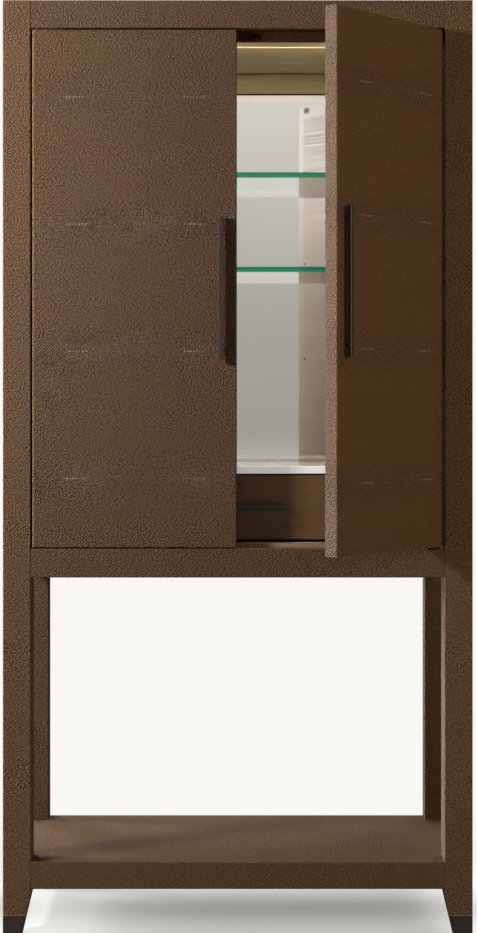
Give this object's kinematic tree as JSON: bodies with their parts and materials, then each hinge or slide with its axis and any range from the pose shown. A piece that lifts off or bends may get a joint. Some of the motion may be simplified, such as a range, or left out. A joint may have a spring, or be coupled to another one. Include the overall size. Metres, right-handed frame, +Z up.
{
  "type": "bar armoire",
  "caption": "Tall hide-clad bar armoire with hinged doors, lit mirrored interior, glass shelves, stone counter, drawer and open lower bay.",
  "frame": {"origin": "on the floor, in the middle of the four posts", "axes": "+X to the right seen from the front, +Y towards the back, +Z up"},
  "size_m": [1.016, 0.9646, 2.032],
  "materials": {
    "hide": "pebbled shagreen hide over a wood core",
    "veneer": "satin veneer with a fine straight grain",
    "lining": "satin tan veneer",
    "drawer_wood": "sealed plain wood",
    "bronze": "dark satin bronze",
    "hinge_brass": "brushed brass",
    "steel": "zinc-plated steel",
    "stone": "polished white stone",
    "glass": "clear polished glass with a green edge",
    "mirror": "silvered glass",
    "aluminium": "anodised aluminium",
    "diffuser": "frosted, lit warm white",
    "plastic": "black nylon"
  },
  "bodies": {
    "frame": {"post_front_left": "hide", "post_front_right": "hide", "post_back_left": "hide", "post_back_right": "hide", "base_rail_front": "hide", "base_rail_back": "hide", "base_side_rails": "hide", "mid_rail_front": "hide", "mid_rail_back": "hide", "mid_side_rails": "hide", "top_rail_front": "hide", "top_rail_back": "hide", "top_side_rails": "hide", "top_panel": "hide", "side_panel_left": "hide", "side_panel_right": "hide", "back_panel": "hide", "lower_shelf": "hide", "bay_ceiling": "hide", "door_stop": "hide", "ceiling_panel": "veneer", "floor_panel": "veneer", "liner_left": "veneer", "liner_right": "veneer", "mirror_header": "veneer", "counter_cleats": "drawer_wood", "foot_caps": "bronze", "left_hinge_frame_leaves": "hinge_brass", "right_hinge_frame_leaves": "hinge_brass", "shelf_pins": "hinge_brass", "runner_cabinet_members": "steel", "catch_magnets": "steel", "counter_slab": "stone", "glass_shelf_upper": "glass", "glass_shelf_lower": "glass", "mirror": "mirror", "light_channel": "aluminium", "light_diffuser": "diffuser", "light_strip": "diffuser", "foot_glides": "plastic", "light_driver": "plastic", "cable_grommet": "plastic"},
    "left_door": {"left_door_panel": "hide", "left_door_lining": "lining", "left_door_pull": "bronze", "left_hinge_door_leaves": "hinge_brass", "left_catch_strike": "steel"},
    "right_door": {"right_door_panel": "hide", "right_door_lining": "lining", "right_door_pull": "bronze", "right_hinge_door_leaves": "hinge_brass", "right_catch_strike": "steel"},
    "drawer": {"drawer_front": "veneer", "drawer_sides": "drawer_wood", "drawer_back": "drawer_wood", "drawer_bottom": "drawer_wood", "drawer_pull": "bronze", "runner_drawer_members": "steel"},
    "runner_middles": {"runner_middle_members": "steel"}
  },
  "joints": [
    {"name": "left_door_hinge", "type": "hinge", "parent": "frame", "child": "left_door", "pos_m": [-0.4347, -0.2975, 1.40875], "axis": [0, 0, -1], "range_deg": [0, 105]},
    {"name": "right_door_hinge", "type": "hinge", "parent": "frame", "child": "right_door", "pos_m": [0.4347, -0.2975, 1.40875], "axis": [0, 0, 1], "range_deg": [-56, 49]},
    {"name": "drawer_slide", "type": "slide", "parent": "frame", "child": "drawer", "axis": [0, -1, 0], "range_m": [0, 0.028]},
    {"name": "runner_slide", "type": "slide", "parent": "frame", "child": "runner_middles", "axis": [0, -1, 0], "range_m": [0, 0.014]}
  ],
  "couplings": [
    {"joint": "runner_slide", "follows": "drawer_slide", "ratio": 0.5}
  ]
}
